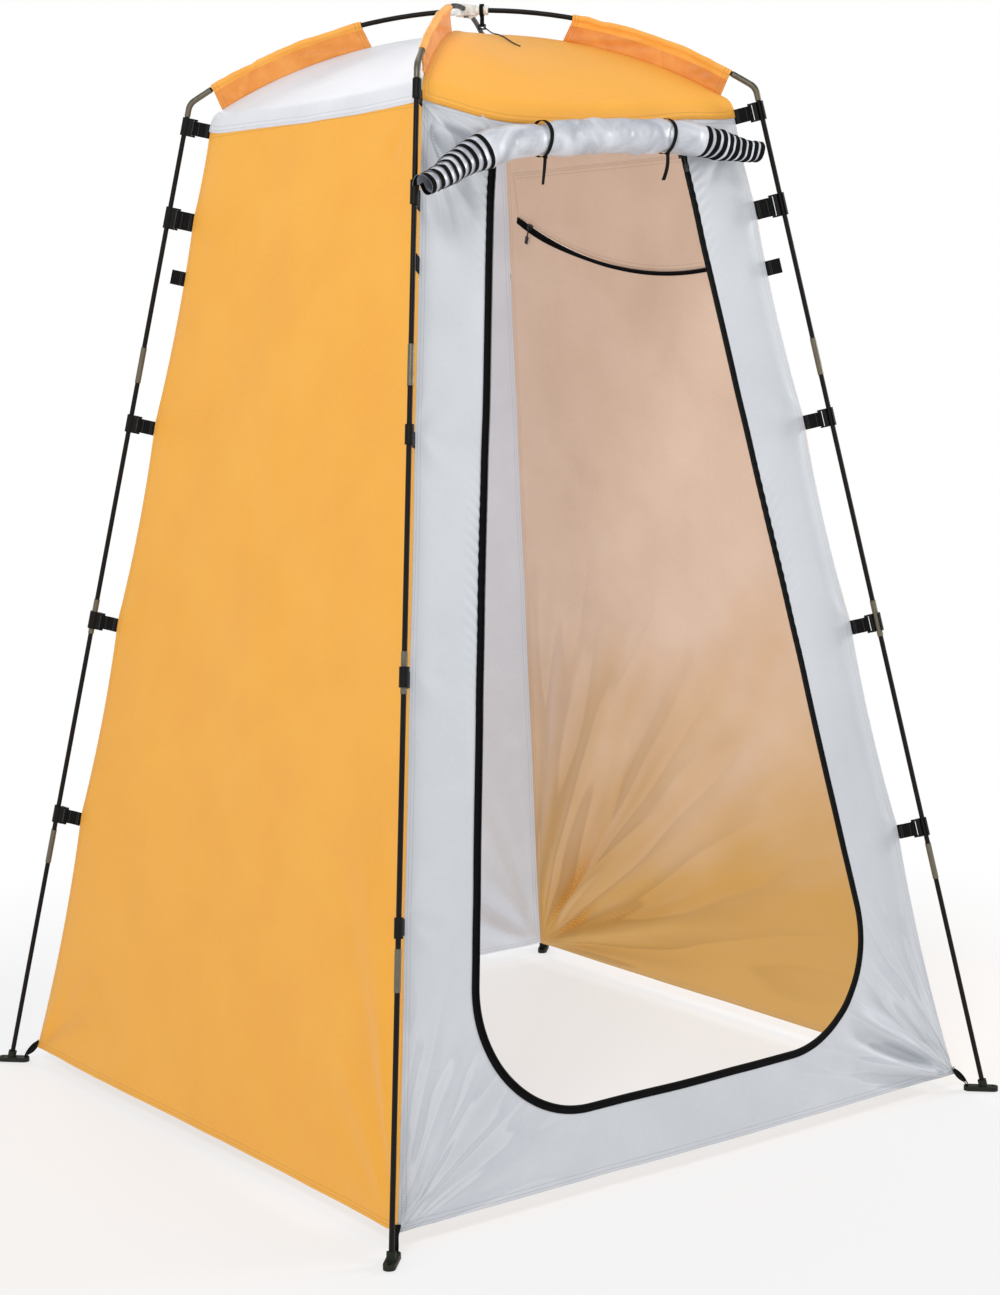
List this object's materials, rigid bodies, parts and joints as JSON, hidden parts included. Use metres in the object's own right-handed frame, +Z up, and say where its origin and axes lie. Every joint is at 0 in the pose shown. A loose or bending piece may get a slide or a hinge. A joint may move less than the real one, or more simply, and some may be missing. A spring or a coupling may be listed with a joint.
{
  "type": "privacy shower tent",
  "caption": "Tall square privacy tent: leaning legs and crossed arches of jointed tube carry a tapering fabric room on clip-on webbing, with a roll-up zip door.",
  "frame": {"origin": "on the ground, under the crossing of the arches", "axes": "+Z up; the door wall faces -Y; the legs stand on the diagonals"},
  "size_m": [1.3144, 1.3144, 1.9113],
  "materials": {
    "fibreglass": "satin black tube",
    "steel": "brushed",
    "hub_plastic": "moulded",
    "elastic": "braided",
    "foot_plastic": "moulded",
    "clip_plastic": "moulded",
    "webbing": "woven webbing",
    "orange_cloth": "coated polyester",
    "silver_cloth": "silver coated polyester",
    "door_cloth": "silver coated polyester",
    "zip_tape": "woven tape",
    "zip_metal": "painted"
  },
  "bodies": {
    "tent": {"hub": "hub_plastic", "hub_rivet": "steel", "arch_tubes": "fibreglass", "shoulder_elbows": "steel", "leg_tubes_top": "fibreglass", "leg_tubes_upper": "fibreglass", "leg_tubes_lower": "fibreglass", "leg_tubes_bottom": "fibreglass", "ferrules": "steel", "tube_tips": "clip_plastic", "shock_cords": "elastic", "feet": "foot_plastic", "foot_straps": "webbing", "wall_front": "silver_cloth", "wall_right": "orange_cloth", "wall_back": "silver_cloth", "wall_left": "orange_cloth", "roof_front": "orange_cloth", "roof_right": "silver_cloth", "roof_back": "orange_cloth", "roof_left": "silver_cloth", "hip_sleeves": "orange_cloth", "straps_br": "webbing", "straps_bl": "webbing", "straps_fl": "webbing", "straps_fr": "webbing", "door_roll": "door_cloth", "door_zip": "zip_tape", "tie_loops": "webbing", "window_zip": "zip_tape", "roof_strap": "webbing", "guy_tabs": "webbing"},
    "clip_br_1": {"clip_br_1": "clip_plastic"},
    "clip_br_2": {"clip_br_2": "clip_plastic"},
    "clip_br_3": {"clip_br_3": "clip_plastic"},
    "clip_br_4": {"clip_br_4": "clip_plastic"},
    "clip_br_5": {"clip_br_5": "clip_plastic"},
    "clip_bl_1": {"clip_bl_1": "clip_plastic"},
    "clip_bl_2": {"clip_bl_2": "clip_plastic"},
    "clip_bl_3": {"clip_bl_3": "clip_plastic"},
    "clip_bl_4": {"clip_bl_4": "clip_plastic"},
    "clip_bl_5": {"clip_bl_5": "clip_plastic"},
    "clip_fl_1": {"clip_fl_1": "clip_plastic"},
    "clip_fl_2": {"clip_fl_2": "clip_plastic"},
    "clip_fl_3": {"clip_fl_3": "clip_plastic"},
    "clip_fl_4": {"clip_fl_4": "clip_plastic"},
    "clip_fl_5": {"clip_fl_5": "clip_plastic"},
    "clip_fr_1": {"clip_fr_1": "clip_plastic"},
    "clip_fr_2": {"clip_fr_2": "clip_plastic"},
    "clip_fr_3": {"clip_fr_3": "clip_plastic"},
    "clip_fr_4": {"clip_fr_4": "clip_plastic"},
    "clip_fr_5": {"clip_fr_5": "clip_plastic"},
    "door_slider": {"door_zip_slider": "zip_metal"},
    "door_pull": {"door_zip_pull": "zip_metal"},
    "window_slider": {"window_zip_slider": "zip_metal"},
    "window_pull": {"window_zip_pull": "zip_metal"},
    "window_flap": {"window_flap": "orange_cloth"},
    "tie_left": {"tie_tail_left": "webbing"},
    "tie_right": {"tie_tail_right": "webbing"},
    "roof_hook": {"roof_hook": "clip_plastic"}
  },
  "joints": [
    {"name": "unclip_br_1", "type": "hinge", "parent": "tent", "child": "clip_br_1", "pos_m": [0.34627, 0.34627, 1.71419], "axis": [-0.1586, -0.1586, 0.9745], "range_deg": [0, 80]},
    {"name": "unclip_br_2", "type": "hinge", "parent": "tent", "child": "clip_br_2", "pos_m": [0.37197, 0.37197, 1.55619], "axis": [-0.1586, -0.1586, 0.9745], "range_deg": [0, 80]},
    {"name": "unclip_br_3", "type": "hinge", "parent": "tent", "child": "clip_br_3", "pos_m": [0.4312, 0.4312, 1.19219], "axis": [-0.1586, -0.1586, 0.9745], "range_deg": [0, 80]},
    {"name": "unclip_br_4", "type": "hinge", "parent": "tent", "child": "clip_br_4", "pos_m": [0.48936, 0.48936, 0.83469], "axis": [-0.1586, -0.1586, 0.9745], "range_deg": [0, 80]},
    {"name": "unclip_br_5", "type": "hinge", "parent": "tent", "child": "clip_br_5", "pos_m": [0.54834, 0.54834, 0.47219], "axis": [-0.1586, -0.1586, 0.9745], "range_deg": [0, 80]},
    {"name": "unclip_bl_1", "type": "hinge", "parent": "tent", "child": "clip_bl_1", "pos_m": [-0.34627, 0.34627, 1.71419], "axis": [0.1586, -0.1586, 0.9745], "range_deg": [0, 80]},
    {"name": "unclip_bl_2", "type": "hinge", "parent": "tent", "child": "clip_bl_2", "pos_m": [-0.37197, 0.37197, 1.55619], "axis": [0.1586, -0.1586, 0.9745], "range_deg": [0, 80]},
    {"name": "unclip_bl_3", "type": "hinge", "parent": "tent", "child": "clip_bl_3", "pos_m": [-0.4312, 0.4312, 1.19219], "axis": [0.1586, -0.1586, 0.9745], "range_deg": [0, 80]},
    {"name": "unclip_bl_4", "type": "hinge", "parent": "tent", "child": "clip_bl_4", "pos_m": [-0.48936, 0.48936, 0.83469], "axis": [0.1586, -0.1586, 0.9745], "range_deg": [0, 80]},
    {"name": "unclip_bl_5", "type": "hinge", "parent": "tent", "child": "clip_bl_5", "pos_m": [-0.54834, 0.54834, 0.47219], "axis": [0.1586, -0.1586, 0.9745], "range_deg": [0, 80]},
    {"name": "unclip_fl_1", "type": "hinge", "parent": "tent", "child": "clip_fl_1", "pos_m": [-0.34627, -0.34627, 1.71419], "axis": [0.1586, 0.1586, 0.9745], "range_deg": [0, 80]},
    {"name": "unclip_fl_2", "type": "hinge", "parent": "tent", "child": "clip_fl_2", "pos_m": [-0.37197, -0.37197, 1.55619], "axis": [0.1586, 0.1586, 0.9745], "range_deg": [0, 80]},
    {"name": "unclip_fl_3", "type": "hinge", "parent": "tent", "child": "clip_fl_3", "pos_m": [-0.4312, -0.4312, 1.19219], "axis": [0.1586, 0.1586, 0.9745], "range_deg": [0, 80]},
    {"name": "unclip_fl_4", "type": "hinge", "parent": "tent", "child": "clip_fl_4", "pos_m": [-0.48936, -0.48936, 0.83469], "axis": [0.1586, 0.1586, 0.9745], "range_deg": [0, 80]},
    {"name": "unclip_fl_5", "type": "hinge", "parent": "tent", "child": "clip_fl_5", "pos_m": [-0.54834, -0.54834, 0.47219], "axis": [0.1586, 0.1586, 0.9745], "range_deg": [0, 80]},
    {"name": "unclip_fr_1", "type": "hinge", "parent": "tent", "child": "clip_fr_1", "pos_m": [0.34627, -0.34627, 1.71419], "axis": [-0.1586, 0.1586, 0.9745], "range_deg": [0, 80]},
    {"name": "unclip_fr_2", "type": "hinge", "parent": "tent", "child": "clip_fr_2", "pos_m": [0.37197, -0.37197, 1.55619], "axis": [-0.1586, 0.1586, 0.9745], "range_deg": [0, 80]},
    {"name": "unclip_fr_3", "type": "hinge", "parent": "tent", "child": "clip_fr_3", "pos_m": [0.4312, -0.4312, 1.19219], "axis": [-0.1586, 0.1586, 0.9745], "range_deg": [0, 80]},
    {"name": "unclip_fr_4", "type": "hinge", "parent": "tent", "child": "clip_fr_4", "pos_m": [0.48936, -0.48936, 0.83469], "axis": [-0.1586, 0.1586, 0.9745], "range_deg": [0, 80]},
    {"name": "unclip_fr_5", "type": "hinge", "parent": "tent", "child": "clip_fr_5", "pos_m": [0.54834, -0.54834, 0.47219], "axis": [-0.1586, 0.1586, 0.9745], "range_deg": [0, 80]},
    {"name": "door_zip_run", "type": "slide", "parent": "tent", "child": "door_slider", "axis": [0.1586, -0.1586, -0.9745], "range_m": [0, 1.307]},
    {"name": "door_pull_swing", "type": "hinge", "parent": "door_slider", "child": "door_pull", "pos_m": [0.19517, -0.3434, 1.64091], "axis": [-0.9873, -0.0255, -0.1565], "range_deg": [0, 55]},
    {"name": "window_zip_run", "type": "hinge", "parent": "tent", "child": "window_slider", "pos_m": [0.22527, -0.13, 2.33145], "axis": [-0.987, 0, -0.1606], "range_deg": [0, 38]},
    {"name": "window_pull_swing", "type": "hinge", "parent": "window_slider", "child": "window_pull", "pos_m": [0.3448, 0.28004, 1.54945], "axis": [-0.0739, 0.8878, 0.4542], "range_deg": [0, 150]},
    {"name": "window_flap_lift", "type": "hinge", "parent": "tent", "child": "window_flap", "pos_m": [0.33582, 0, 1.65508], "axis": [0, -1, 0], "range_deg": [0, 100]},
    {"name": "tie_left_swing", "type": "hinge", "parent": "tent", "child": "tie_left", "pos_m": [-0.12747, -0.37998, 1.62211], "axis": [-0.9962, 0, -0.0872], "range_deg": [-25, 45]},
    {"name": "tie_right_swing", "type": "hinge", "parent": "tent", "child": "tie_right", "pos_m": [0.13051, -0.3777, 1.636], "axis": [-0.9998, 0, -0.0175], "range_deg": [-25, 45]},
    {"name": "roof_hook_swing", "type": "hinge", "parent": "tent", "child": "roof_hook", "pos_m": [0.021, -0.021, 1.876], "axis": [0.7071, -0.7071, 0], "range_deg": [-30, 30]}
  ]
}
